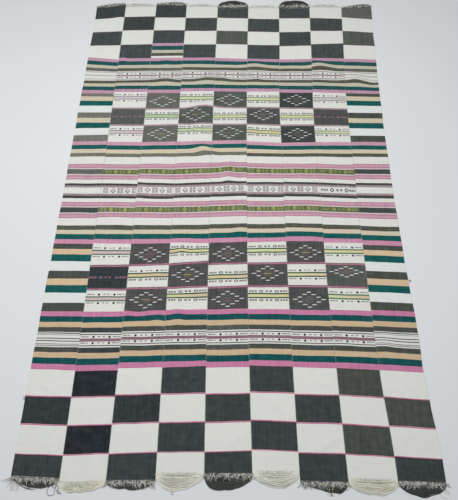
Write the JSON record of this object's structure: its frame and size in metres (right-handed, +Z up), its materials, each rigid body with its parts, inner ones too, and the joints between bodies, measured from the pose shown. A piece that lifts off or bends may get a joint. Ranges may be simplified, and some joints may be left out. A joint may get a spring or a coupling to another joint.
{
  "type": "handwoven strip cloth",
  "caption": "Large flat handwoven cotton cloth of narrow strips sewn edge to edge, with check, stripe and diamond bands and loose yarn at both ends.",
  "frame": {"origin": "middle of the cloth's extent on the floor it lies on", "axes": "+Y along the warp to the far end, the one with coloured stripes inside a check of its third strip; +X across the strips; +Z up"},
  "size_m": [1.4596, 2.4447, 0.0177],
  "materials": {
    "woven_cotton": "matte weft-faced cotton weave in check and stripe colours",
    "dark_yarn": "matte loose charcoal cotton yarn with white warp ends",
    "cream_yarn": "matte loose cream cotton yarn"
  },
  "bodies": {
    "root": {"strip_1": "woven_cotton", "strip_2": "woven_cotton", "strip_3": "woven_cotton", "strip_4": "woven_cotton", "strip_5": "woven_cotton", "strip_6": "woven_cotton", "strip_7": "woven_cotton", "strip_8": "woven_cotton", "strip_9": "woven_cotton", "fringe_far_1": "dark_yarn", "fringe_far_2": "cream_yarn", "fringe_far_3": "dark_yarn", "fringe_far_4": "cream_yarn", "fringe_far_5": "dark_yarn", "fringe_far_6": "cream_yarn", "fringe_far_7": "dark_yarn", "fringe_far_8": "cream_yarn", "fringe_far_9": "dark_yarn", "fringe_near_1": "dark_yarn", "fringe_near_2": "cream_yarn", "fringe_near_3": "dark_yarn", "fringe_near_4": "cream_yarn", "fringe_near_5": "dark_yarn", "fringe_near_6": "cream_yarn", "fringe_near_7": "dark_yarn", "fringe_near_8": "cream_yarn", "fringe_near_9": "dark_yarn"}
  },
  "joints": []
}
